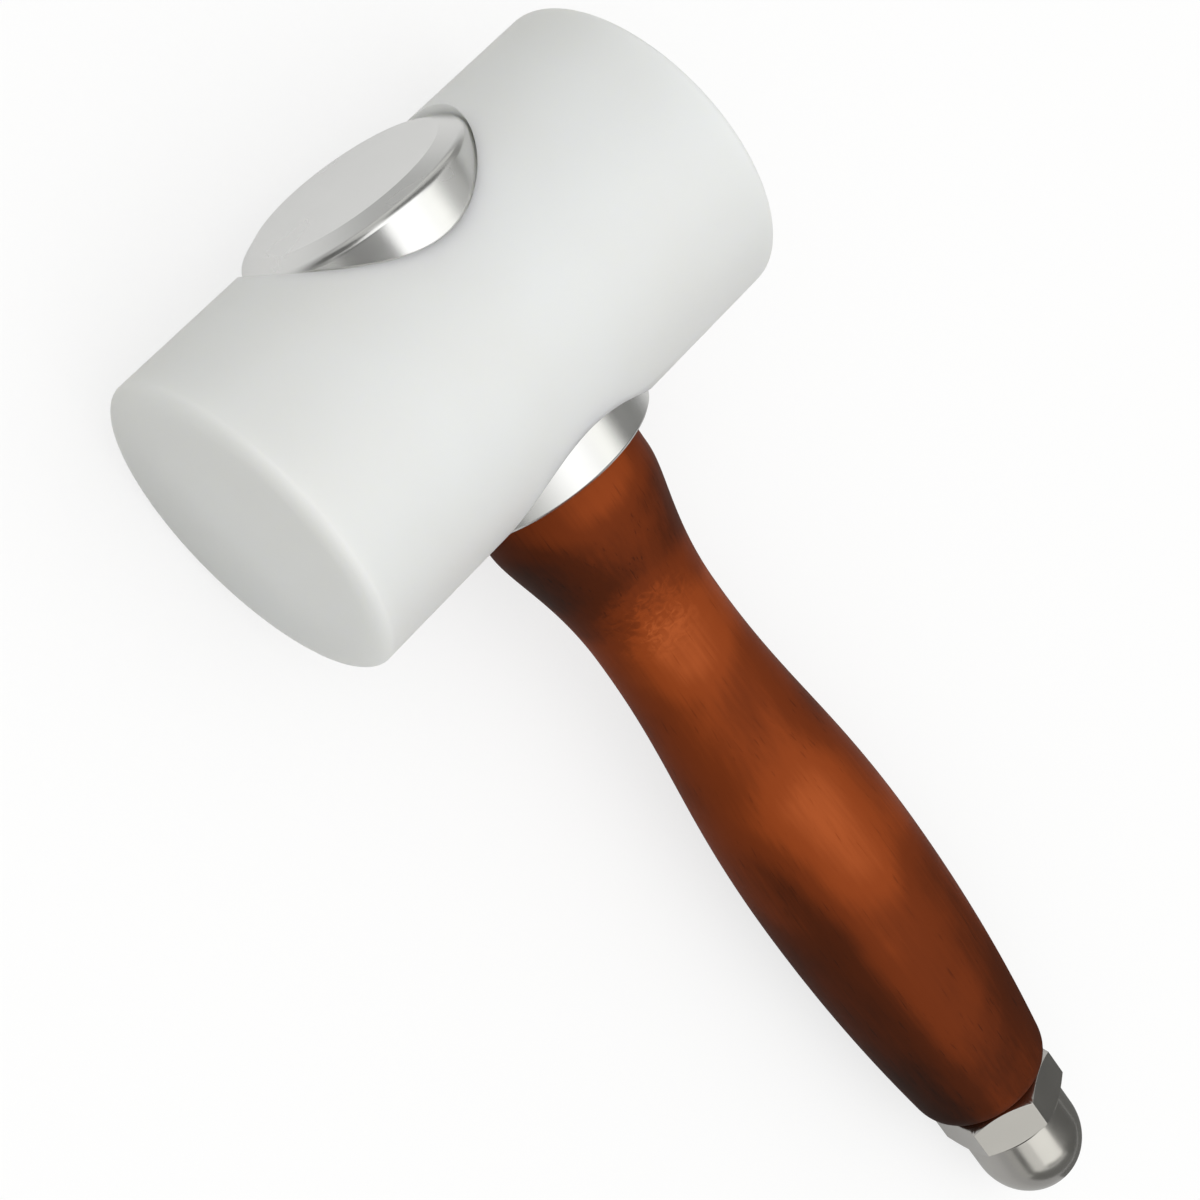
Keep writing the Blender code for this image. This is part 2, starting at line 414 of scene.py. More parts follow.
@dataclass(frozen=True)
class NylonFinish:
    """Milky white nylon with a soft sheen, faintly cloudy, with a very fine moulded grain."""

    colour: Colour = (0.800, 0.815, 0.815)
    clouded: Colour = (0.778, 0.785, 0.775)
    cloud_scale: float = 28.0
    cloud_edge: tuple[float, float] = (0.35, 0.65)
    grain_scale: float = 2600.0
    grain_depth: float = 0.000004
    roughness: float = 0.42
    refraction: float = 1.53
    glow: float = 0.85
    glow_depth: float = 0.0035
    glow_spread: Colour = (1.0, 1.0, 0.9)
    crown: float = 0.0046
    crown_radius: float = 0.0275

    def make(self, place: MalletFrame) -> bpy.types.Material:
        """Builds the material.

        Args:
            place: the mallet's own frame.

        Returns:
            The material.
        """
        shader = Shader("white_nylon")
        point = shader.local_point(place)
        clouds = shader.noise(point, self.cloud_scale, 2.0)
        clear = shader.span(clouds, *self.cloud_edge, 0.0, 1.0)
        colour = shader.blend(clear, self.clouded, self.colour)
        across = shader.vector("MULTIPLY", point, (0.0, 1.0, 1.0))
        outward = shader.vector("DOT_PRODUCT", across, across)
        fall = shader.maths("DIVIDE", outward, -self.crown_radius**2)
        crowned = shader.bump(fall, self.crown)
        grain = shader.noise(point, self.grain_scale, 2.0)
        return shader.surface(shader.node("BsdfPrincipled", {
            "Base Color": colour,
            "Roughness": self.roughness,
            "IOR": self.refraction,
            "Subsurface Weight": self.glow,
            "Subsurface Radius": self.glow_spread,
            "Subsurface Scale": self.glow_depth,
            "Normal": shader.bump(grain, self.grain_depth, below=crowned),
        }))


@dataclass(frozen=True)
class TurnedAluminium:
    """Aluminium turned on a lathe and polished, with fine rings that follow the cut."""

    colour: Colour = (0.71, 0.71, 0.70)
    roughness: float = 0.24
    ring_scale: float = 1500.0
    ring_depth: float = 0.0000008
    smear_scale: float = 60.0
    smear_change: tuple[float, float] = (-0.03, 0.05)

    def make(self, place: MalletFrame) -> bpy.types.Material:
        """Builds the material.

        Args:
            place: the mallet's own frame.

        Returns:
            The material.
        """
        shader = Shader("turned_aluminium")
        point = shader.local_point(place)
        radius = shader.vector("LENGTH", shader.vector("MULTIPLY", point, (1.0, 1.0, 0.0)))
        height = shader.node("SeparateXYZ", {"Vector": point}).outputs["Z"]
        travel = shader.maths("ADD", radius, height)
        rings = shader.node("TexNoise", {"W": travel, "Scale": self.ring_scale, "Detail": 3.0},
                            noise_dimensions="1D").outputs[0]
        smears = shader.noise(point, self.smear_scale, 3.0, 0.6)
        change = shader.span(smears, *NOISE_MIDDLE, *self.smear_change)
        roughness = shader.maths("ADD", change, self.roughness)
        return shader.surface(shader.node("BsdfPrincipled", {
            "Base Color": (*self.colour, 1.0),
            "Metallic": 1.0,
            "Roughness": roughness,
            "Normal": shader.bump(rings, self.ring_depth),
        }))


@dataclass(frozen=True)
class TonePatch:
    """A soft patch of the handle that is darker or lighter than the tone round it.

    Attributes:
        around: where its middle lies round the handle, in degrees from the side that lies uppermost.
        along: its middle's distance from the handle's top.
        size: its half widths across, through and along the handle.
        tone: how much lighter it is, or darker where this is below zero.
    """

    around: float
    along: float
    size: tuple[float, float, float]
    tone: float


@dataclass(frozen=True)
class StainedWood:
    """Close-grained wood under a hand-rubbed reddish brown stain and a thin satin lacquer.

    Painted shade darkens the stain where the handle narrows from the lip into the neck, towards the end,
    along the side that turns to the floor and on the far side; painted highlights lighten it at the neck
    and on the belly. Soft patches add blotches of stain and more painted shade and highlight.
    Its tone runs from 0, dark, to 1, light. Fine fibres and short pores run along the handle.
    """

    top: float
    length: float
    radius: float
    tones: tuple[tuple[float, Colour], ...] = (
        (0.00, (0.026, 0.009, 0.005)),
        (0.25, (0.073, 0.015, 0.004)),
        (0.50, (0.165, 0.030, 0.006)),
        (0.75, (0.278, 0.052, 0.010)),
        (1.00, (0.410, 0.088, 0.021)),
    )
    # Tone down the handle, by distance from its top: the stain's level, with painted shade where the handle
    # narrows from the lip into the neck and towards the end, and painted highlights at the neck and on the
    # belly.
    stain_and_painted_light_along: tuple[tuple[float, float], ...] = (
        (0.000, 0.62), (0.004, 0.56), (0.011, 0.43), (0.018, 0.40), (0.025, 0.62), (0.031, 0.80),
        (0.037, 0.78), (0.045, 0.64), (0.058, 0.62), (0.070, 0.79), (0.082, 0.78), (0.098, 0.55),
        (0.115, 0.49), (0.130, 0.46), (0.145, 0.43),
    )
    # The side that turns to the floor gets painted shade, darker and reaching further round beyond the
    # belly.
    painted_shade_side: tuple[float, float] = (-0.912, 0.411)
    painted_shade_side_along: tuple[float, float] = (0.060, 0.085)
    painted_shade_side_width: tuple[float, float] = (0.95, 0.55)
    painted_shade_side_tone: tuple[float, float] = (-0.30, -0.38)
    # The far side gets a lighter painted shade.
    painted_shade_far_side: tuple[float, float] = (0.35, 0.90)
    painted_shade_far_side_tone: float = -0.13
    # Patches: partly blotches in the stain, partly painted light, the darker ones on the sides painted
    # shade and the lighter ones down the middle painted highlights.
    blotches_and_painted_light: tuple[TonePatch, ...] = (
        TonePatch(30.0, 0.003, (0.009, 0.009, 0.006), 0.22),
        TonePatch(-50.0, 0.014, (0.012, 0.012, 0.014), -0.12),
        TonePatch(2.0, 0.034, (0.009, 0.009, 0.010), 0.16),
        TonePatch(6.0, 0.076, (0.009, 0.009, 0.022), 0.18),
        TonePatch(52.0, 0.046, (0.009, 0.009, 0.018), -0.14),
        TonePatch(-50.0, 0.036, (0.010, 0.010, 0.014), -0.16),
        TonePatch(60.0, 0.064, (0.008, 0.008, 0.016), -0.10),
        TonePatch(-22.0, 0.082, (0.007, 0.007, 0.016), -0.08),
        TonePatch(55.0, 0.014, (0.009, 0.009, 0.010), 0.08),
    )
    rubbed: TonePatch = TonePatch(-4.0, 0.0275, (0.010, 0.010, 0.007), 0.22)
    rubbed_scale: float = 520.0
    rubbed_stretch: float = 1.4
    rubbed_edge: tuple[float, float] = (0.40, 0.66)
    rubbed_depth: tuple[float, float] = (-0.3, 1.0)
    patch_reach: float = 1.4
    cloud_scale: float = 42.0
    cloud_stretch: float = 0.55
    cloud_edge: tuple[float, float] = (0.25, 0.75)
    cloud_tone: float = 0.34
    fibre_scale: float = 1500.0
    fibre_stretch: float = 0.03
    fibre_tone: float = 0.024
    fibre_depth: float = 0.000006
    curl_depth: float = 0.00004
    pore_scale: float = 2400.0
    pore_stretch: float = 0.06
    pore_edge: tuple[float, float] = (0.66, 0.76)
    pore_tone: float = -0.10
    roughness: float = 0.50
    roughness_change: float = 0.05
    roughness_tones: tuple[float, float] = (0.2, 0.9)
    gloss: float = 0.04

    @classmethod
    def for_handle(cls, handle: "WoodenHandle") -> "StainedWood":
        """The finish for this handle."""
        return cls(top=handle.top, length=handle.length, radius=handle.belly_radius)

    def mask(self, shader: Shader, point: Socket, patch: TonePatch) -> Socket:
        """Marks a patch of the handle.

        Args:
            shader: the material that gets the nodes.
            point: the point in the mallet's frame.
            patch: where the patch lies.

        Returns:
            One at the patch's middle, falling softly to zero at its edge.
        """
        side = Vector(self.painted_shade_side)
        middle = Vector((side.y, -side.x)) * -1.0
        angle = math.radians(patch.around)
        outward = (middle * math.cos(angle) - side * math.sin(angle)) * self.radius
        centre = Vector((outward.x, outward.y, self.top - patch.along))
        away = shader.vector("SUBTRACT", point, centre)
        distance = shader.vector("LENGTH", shader.vector("DIVIDE", away, patch.size))
        return shader.span(distance, 0.0, self.patch_reach, 1.0, 0.0, smooth=True)

    def tone(self, shader: Shader, point: Socket) -> Socket:
        """Lays the large tones over one another: the stain's, with its painted shade and painted
        highlights.

        Args:
            shader: the material that gets the nodes.
            point: the point in the mallet's frame.

        Returns:
            The tone at the point, stain and painted light together, from 0, dark, to 1, light.
        """
        height = shader.node("SeparateXYZ", {"Vector": point}).outputs["Z"]
        # Stain tone down the handle, with painted shade and painted highlights.
        share = shader.span(height, self.top, self.top - self.length, 0.0, 1.0)
        stops = [(along / self.length, (tone,) * 3) for along, tone in self.stain_and_painted_light_along]
        tone = shader.ramp(share, stops)
        # Painted shade on the side that turns to the floor.
        axis = Vector((*self.painted_shade_side, 0.0)) / self.radius
        across = shader.vector("DOT_PRODUCT", point, axis)
        bounds = [self.top - along for along in self.painted_shade_side_along]
        width = shader.span(height, *bounds, *self.painted_shade_side_width, smooth=True)
        side = shader.span(shader.maths("DIVIDE", across, width), 0.0, 1.0, 0.0, 1.0, smooth=True)
        depth = shader.span(height, *bounds, *self.painted_shade_side_tone, smooth=True)
        tone = shader.node("Math", {0: side, 1: depth, 2: tone}, operation="MULTIPLY_ADD").outputs[0]
        # Lighter painted shade on the far side.
        start, end = (-bound for bound in self.painted_shade_far_side)
        side = shader.span(across, start, end, 0.0, self.painted_shade_far_side_tone, smooth=True)
        tone = shader.maths("ADD", tone, side)
        # Patches of stain blotches, painted shade and painted highlight.
        for patch in self.blotches_and_painted_light:
            change = shader.maths("MULTIPLY", self.mask(shader, point, patch), patch.tone)
            tone = shader.maths("ADD", tone, change)
        long = shader.stretched(point, (1.0, 1.0, self.cloud_stretch))
        clouds = shader.noise(long, self.cloud_scale, 4.0, 0.4)
        cloudy = shader.span(clouds, *self.cloud_edge, -self.cloud_tone / 2, self.cloud_tone / 2)
        return shader.maths("ADD", tone, cloudy)

    def make(self, place: MalletFrame) -> bpy.types.Material:
        """Builds the material.

        Args:
            place: the mallet's own frame.

        Returns:
            The material.
        """
        shader = Shader("stained_wood")
        point = shader.local_point(place)
        tone = self.tone(shader, point)
        along = shader.stretched(point, (1.0, 1.0, self.fibre_stretch))
        fibres = shader.noise(along, self.fibre_scale, 3.0, 0.3)
        fibre_tone = shader.span(fibres, *NOISE_MIDDLE, -self.fibre_tone, self.fibre_tone)
        tone = shader.maths("ADD", tone, fibre_tone)
        short = shader.stretched(point, (1.0, 1.0, self.rubbed_stretch))
        curl = shader.noise(short, self.rubbed_scale, 3.0, 1.2)
        rub = self.mask(shader, point, self.rubbed)
        curled = shader.maths("MULTIPLY", rub, shader.span(curl, *self.rubbed_edge, *self.rubbed_depth))
        tone = shader.maths("ADD", tone, shader.maths("MULTIPLY", curled, self.rubbed.tone))
        pores = shader.noise(shader.stretched(point, (1.0, 1.0, self.pore_stretch)), self.pore_scale, 1.0)
        tone = shader.maths("ADD", tone, shader.span(pores, *self.pore_edge, 0.0, self.pore_tone))
        grain = shader.bump(fibres, self.fibre_depth)
        dull = self.roughness + self.roughness_change
        shiny = self.roughness - self.roughness_change
        return shader.surface(shader.node("BsdfPrincipled", {
            "Base Color": shader.ramp(tone, list(self.tones)),
            "Roughness": shader.span(tone, *self.roughness_tones, dull, shiny),
            "Specular IOR Level": self.gloss,
            "Normal": shader.bump(curled, self.curl_depth, below=grain),
        }))


@dataclass(frozen=True)
class MetalPlating:
    """A plain or plated metal with a faint unevenness in its polish."""

    name: str
    colour: Colour
    roughness: float
    wave_scale: float = 140.0
    wave_depth: float = 0.00001
    wave_change: tuple[float, float] = (-0.02, 0.04)

    def make(self, place: MalletFrame) -> bpy.types.Material:
        """Builds the material.

        Args:
            place: the mallet's own frame.

        Returns:
            The material.
        """
        shader = Shader(self.name)
        point = shader.local_point(place)
        waves = shader.noise(point, self.wave_scale, 2.0)
        bounds = [self.roughness + change for change in self.wave_change]
        roughness = shader.span(waves, *NOISE_MIDDLE, *bounds)
        return shader.surface(shader.node("BsdfPrincipled", {
            "Base Color": (*self.colour, 1.0),
            "Metallic": 1.0,
            "Roughness": roughness,
            "Normal": shader.bump(waves, self.wave_depth),
        }))


PLAIN_STEEL = MetalPlating("plain_steel", (0.50, 0.50, 0.51), 0.38)
PLATED_STEEL = MetalPlating("plated_steel", (0.61, 0.592, 0.565), 0.19)


class Piece:
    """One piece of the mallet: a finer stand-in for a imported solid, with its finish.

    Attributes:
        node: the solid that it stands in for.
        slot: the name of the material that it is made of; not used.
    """

    node: str
    slot: str

    def shape(self) -> Solid:
        """Models the piece in the mallet's frame."""
        raise NotImplementedError

    def build(self, name: str, place: MalletFrame, material: bpy.types.Material) -> bpy.types.Object:
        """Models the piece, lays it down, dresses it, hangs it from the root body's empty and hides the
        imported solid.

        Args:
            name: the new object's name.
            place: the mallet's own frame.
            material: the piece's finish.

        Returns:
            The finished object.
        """
        bm = self.shape()
        bmesh.ops.transform(bm, matrix=place.matrix(), verts=bm.verts)
        mesh = bpy.data.meshes.new(name)
        bm.to_mesh(mesh)
        bm.free()
        mesh.shade_smooth()
        mesh.set_sharp_from_angle(angle=SHARP_ANGLE)
        mesh.materials.append(material)
        obj = bpy.data.objects.new(name, mesh)
        bpy.context.scene.collection.objects.link(obj)
        weights = obj.modifiers.new("Even shading", "WEIGHTED_NORMAL")
        weights.keep_sharp = True
        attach(obj, "root")
        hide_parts(self.node)
        logging.info("%s: %d faces in place of %s", name, len(mesh.polygons), self.node)
        return obj


@dataclass
class NylonHead(Piece):
    """The head: a white cylinder with rounded rims, bored across for the core."""

    radius: float
    length: float
    bore_radius: float
    rim_length: float = 0.0020
    rim_width: float = 0.0040
    rim_steps: int = 16
    mouth_round: float = 0.00045
    mouth_weld: float = 0.00008
    node: str = "head"
    slot: str = "white_nylon"

    @classmethod
    def from_frame(cls, place: MalletFrame) -> "NylonHead":
        """Takes the head's sizes from its solid and the core's.

        Args:
            place: the mallet's own frame.

        Returns:
            The head.
        """
        low, high = place.extent("head")
        core_low, core_high = place.extent("core")
        bore = (core_high.x - core_low.x) / 2 + FIT_GAP
        return cls(radius=(high.y - low.y) / 2, length=high.x - low.x, bore_radius=bore)

    def shape(self) -> Solid:
        """Turns the cylinder, lays it along X, bores it and softens the bore's two mouths.

        Returns:
            The head, in the mallet's frame.
        """
        half = self.length / 2
        inner = self.radius - self.rim_width
        start = half - self.rim_length
        profile = [(0.0, half)]
        profile += arc((inner, start), self.rim_width, 90.0, 0.0, self.rim_steps, self.rim_length)
        profile += arc((inner, -start), self.rim_width, 0.0, -90.0, self.rim_steps, self.rim_length)
        profile += [(0.0, -half)]
        head = spin_profile(profile)
        bmesh.ops.rotate(head, verts=head.verts, matrix=Matrix.Rotation(math.radians(90.0), 3, "Y"))
        reach = self.radius + CUTTER_MARGIN
        bore = spin_profile([
            (0.0, reach),
            (self.bore_radius, reach),
            (self.bore_radius, -reach),
            (0.0, -reach),
        ])
        bored = cut(head, bore, Cut.TAKE_AWAY)
        soften_edges(bored, self.mouth_round, self.mouth_weld)
        return bored


@dataclass
class MetalCore(Piece):
    """The turned slug through the head: its disc at the crown, its ring under the head."""

    radius: float
    top: float
    foot: float
    hole_radius: float
    hole_top: float
    top_chamfer: float = 0.0018
    top_chamfer_width: float = 0.0035
    foot_chamfer: float = 0.0005
    face_round: float = 0.0003
    rim_round: float = 0.0016
    foot_round: float = 0.0003
    rim_steps: int = 12
    round_steps: int = 5
    node: str = "core"
    slot: str = "turned_aluminium"

    @classmethod
    def from_frame(cls, place: MalletFrame) -> "MetalCore":
        """Takes the core's sizes from its solid and the rod's.

        Args:
            place: the mallet's own frame.

        Returns:
            The core.
        """
        low, high = place.extent("core")
        hole, _, hole_top = rod_hole(place)
        return cls((high.x - low.x) / 2, top=high.z, foot=low.z, hole_radius=hole, hole_top=hole_top)

    def shape(self) -> Solid:
        """Turns the slug with its eased chamfers and its blind hole.

        Returns:
            The core, in the mallet's frame.
        """
        slope = math.degrees(math.atan2(self.top_chamfer, self.top_chamfer_width))
        face_ease = math.tan(math.radians(slope / 2))
        rim_ease = math.tan(math.radians((90.0 - slope) / 2))
        ease = math.tan(math.radians(22.5))
        flat_radius = self.radius - self.top_chamfer_width
        face = (flat_radius - face_ease * self.face_round, self.top - self.face_round)
        rim = (self.radius - self.rim_round, self.top - self.top_chamfer - rim_ease * self.rim_round)
        foot = (self.radius - self.foot_round, self.foot + self.foot_chamfer + ease * self.foot_round)
        sole = (self.radius - self.foot_chamfer - ease * self.foot_round, self.foot + self.foot_round)
        profile = [(0.0, self.top)]
        profile += arc(face, self.face_round, 90.0, 90.0 - slope, self.round_steps)
        profile += arc(rim, self.rim_round, 90.0 - slope, 0.0, self.rim_steps)
        profile += arc(foot, self.foot_round, 0.0, -45.0, self.round_steps)
        profile += arc(sole, self.foot_round, -45.0, -90.0, self.round_steps)
        profile += [(self.hole_radius, self.foot), (self.hole_radius, self.hole_top), (0.0, self.hole_top)]
        return spin_profile(profile)


@dataclass
class WoodenHandle(Piece):
    """The turned handle: a flared lip, a slim neck, a full belly and a rounded end.

    Radii are the outline's, and distances run down from the handle's top. Each reach is the share of
    the way to the next place that the outline keeps its direction for.
    """

    top: float
    length: float
    hole_radius: float
    top_radius: float = 0.0151
    top_edge: float = 0.0006
    lip_length: float = 0.0075
    lip_reach: float = 0.20
    neck_radius: float = 0.0114
    neck_at: float = 0.0332
    neck_reach: tuple[float, float] = (0.50, 0.38)
    belly_radius: float = 0.0157
    belly_at: float = 0.0953
    belly_reach: tuple[float, float] = (0.48, 0.35)
    butt_reach: float = 0.33
    butt_radius: float = 0.0129
    butt_round: float = 0.0044
    butt_face_radius: float = 0.0093
    butt_slope: float = 0.125
    round_ease: float = 0.55
    bend_steps: int = 36
    edge_steps: int = 6
    node: str = "handle"
    slot: str = "stained_wood"

    @classmethod
    def from_frame(cls, place: MalletFrame) -> "WoodenHandle":
        """Takes the handle's length and place from its solid, and its hole from the rod's.

        Args:
            place: the mallet's own frame.

        Returns:
            The handle.
        """
        low, high = place.extent("handle")
        return cls(top=high.z, length=high.z - low.z, hole_radius=rod_hole(place)[0])

    def outline(self) -> Profile:
        """Draws the handle's outer side.

        Returns:
            Its points from the top edge to the end face, as (radius, distance from the top).
        """
        lip = Vector((self.top_radius, self.lip_length))
        neck = Vector((self.neck_radius, self.neck_at))
        belly = Vector((self.belly_radius, self.belly_at))
        butt = Vector((self.butt_radius, self.length - self.butt_round))
        end = Vector((self.butt_face_radius, self.length))
        slope = Vector((-self.butt_slope, 1.0))
        down = Vector((0.0, 1.0))
        outward = Vector((1.0, 0.0))
        to_neck = neck.y - lip.y
        to_belly = belly.y - neck.y
        to_butt = butt.y - belly.y
        steps = self.bend_steps
        edge = self.top_edge
        leave_lip = lip + down * self.lip_reach * to_neck
        reach_neck = neck - down * self.neck_reach[0] * to_neck
        leave_neck = neck + down * self.neck_reach[1] * to_belly
        reach_belly = belly - down * self.belly_reach[0] * to_belly
        leave_belly = belly + down * self.belly_reach[1] * to_butt
        reach_butt = butt - slope * self.butt_reach * to_butt
        points = arc((self.top_radius - edge, edge), edge, -90.0, 0.0, self.edge_steps)
        points += [tuple(lip)]
        points += bend(lip, leave_lip, reach_neck, neck, steps)
        points += bend(neck, leave_neck, reach_belly, belly, steps)
        points += bend(belly, leave_belly, reach_butt, butt, steps)
        points += bend(
            butt,
            butt + slope * self.round_ease * self.butt_round,
            end + outward * self.round_ease * (self.butt_radius - self.butt_face_radius),
            end,
            steps // 3,
        )
        return points

    def shape(self) -> Solid:
        """Turns the handle with the rod's hole through it.

        Returns:
            The handle, in the mallet's frame.
        """
        profile = [(radius, self.top - distance) for radius, distance in self.outline()]
        profile += [(self.hole_radius, self.top - self.length), (self.hole_radius, self.top)]
        return spin_profile(profile, closed=True)


@dataclass
class DomedNut(Piece):
    """The cap nut: a chamfered hexagon, a round dome that grows out of it and a blind hole."""

    face: float
    tip: float
    hole_radius: float
    hole_end: float
    across_flats: float = 0.0206
    hex_height: float = 0.0077
    turn: float = math.radians(-5.0)
    chamfer_slope: float = math.radians(30.0)
    face_margin: float = 0.0004
    back_margin: float = 0.0002
    dome_radius: float = 0.0099
    dome_height: float = 0.0105
    dome_steps: int = 48
    groove_depth: float = 0.0009
    groove_height: float = 0.0004
    tip_inset: float = 0.00004
    edge_round: float = 0.00036
    edge_weld: float = 0.00003
    node: str = "cap_nut"
    slot: str = "plated_steel"

    @classmethod
    def from_frame(cls, place: MalletFrame) -> "DomedNut":
        """Takes the nut's place from its solid, and its hole from the rod's.

        Args:
            place: the mallet's own frame.

        Returns:
            The nut.
        """
        low, high = place.extent("cap_nut")
        hole, hole_end, _ = rod_hole(place)
        return cls(face=high.z, tip=low.z, hole_radius=hole, hole_end=hole_end)

    def hexagon(self) -> Solid:
        """Cuts a block with six sides down to where a lathe would leave it.

        Returns:
            The hexagon with both of its faces chamfered round.
        """
        corner = self.across_flats / 2 / math.cos(math.pi / 6)
        back = self.face - self.hex_height
        middle = Matrix.Translation((0.0, 0.0, (self.face + back) / 2))
        block = bmesh.new()
        bmesh.ops.create_cone(
            block, cap_ends=True, segments=6, radius1=corner, radius2=corner,
            depth=self.hex_height, matrix=middle @ Matrix.Rotation(self.turn, 4, "Z"),
        )
        front_flat = self.across_flats / 2 - self.face_margin
        back_flat = self.across_flats / 2 - self.back_margin
        reach = corner + self.face_margin
        slope = math.tan(self.chamfer_slope)
        lens = spin_profile([
            (0.0, self.face),
            (front_flat, self.face),
            (reach, self.face - (reach - front_flat) * slope),
            (reach, back + (reach - back_flat) * slope),
            (back_flat, back),
            (0.0, back),
        ])
        return cut(block, lens, Cut.KEEP_INSIDE)

    def dome(self) -> Solid:
        """Turns the round cap.

        Returns:
            The cap, from inside the hexagon, with a fine groove where it leaves it.
        """
        back = self.face - self.hex_height
        inside = self.face - self.hex_height / 2
        neck = self.dome_radius - self.groove_depth
        spring = self.tip + self.tip_inset + self.dome_height
        profile = [(0.0, inside), (neck, inside), (neck, back - self.groove_height)]
        profile += [(self.dome_radius, back - self.groove_height)]
        for i in range(self.dome_steps + 1):
            angle = math.radians(90.0) * i / self.dome_steps
            radius = self.dome_radius * math.cos(angle) if i < self.dome_steps else 0.0
            profile.append((radius, spring - self.dome_height * math.sin(angle)))
        return spin_profile(profile)

    def shape(self) -> Solid:
        """Joins hexagon and dome, bores the hole and softens the edges.

        Returns:
            The nut, in the mallet's frame.
        """
        nut = cut(self.hexagon(), self.dome(), Cut.JOIN)
        above = self.face + CUTTER_MARGIN
        hole = spin_profile([
            (0.0, above),
            (self.hole_radius, above),
            (self.hole_radius, self.hole_end),
            (0.0, self.hole_end),
        ])
        nut = cut(nut, hole, Cut.TAKE_AWAY)
        soften_edges(nut, self.edge_round, self.edge_weld)
        return nut


@dataclass(frozen=True)
class Card:
    """A card that stands or lies by the mallet, and that only its shiny surfaces see.

    Attributes:
        name: its object's name.
        centre: where its middle stands.
        width: its width.
        height: its height.
        level: how bright it is.
        lying: whether it lies on the floor.
        shade: its colour.
    """

    name: str
    centre: tuple[float, float, float]
    width: float
    height: float
    level: float
    lying: bool = False
    shade: Colour = (1.0, 1.0, 0.96)

    def build(self, look_at: Vector) -> bpy.types.Object:
        """Stands the card up so that it faces the mallet, or lays it on the floor.

        Args:
            look_at: the point that it faces.

        Returns:
            The card.
        """
        shader = Shader(self.name)
        glow = shader.node("Emission", {"Color": (*self.shade, 1.0), "Strength": self.level})
        bm = bmesh.new()
        bmesh.ops.create_grid(bm, x_segments=1, y_segments=1, size=0.5)
        bmesh.ops.scale(bm, vec=(self.width, self.height, 1.0), verts=bm.verts)
        if not self.lying:
            facing = (look_at - Vector(self.centre)).to_track_quat("Z", "Y").to_matrix()
            bmesh.ops.rotate(bm, verts=bm.verts, matrix=facing)
        bmesh.ops.translate(bm, verts=bm.verts, vec=self.centre)
        card = add_stage(self.name, bm, shader.surface(glow), in_view=False)
        card.visible_diffuse = False
        card.visible_shadow = False
        return card


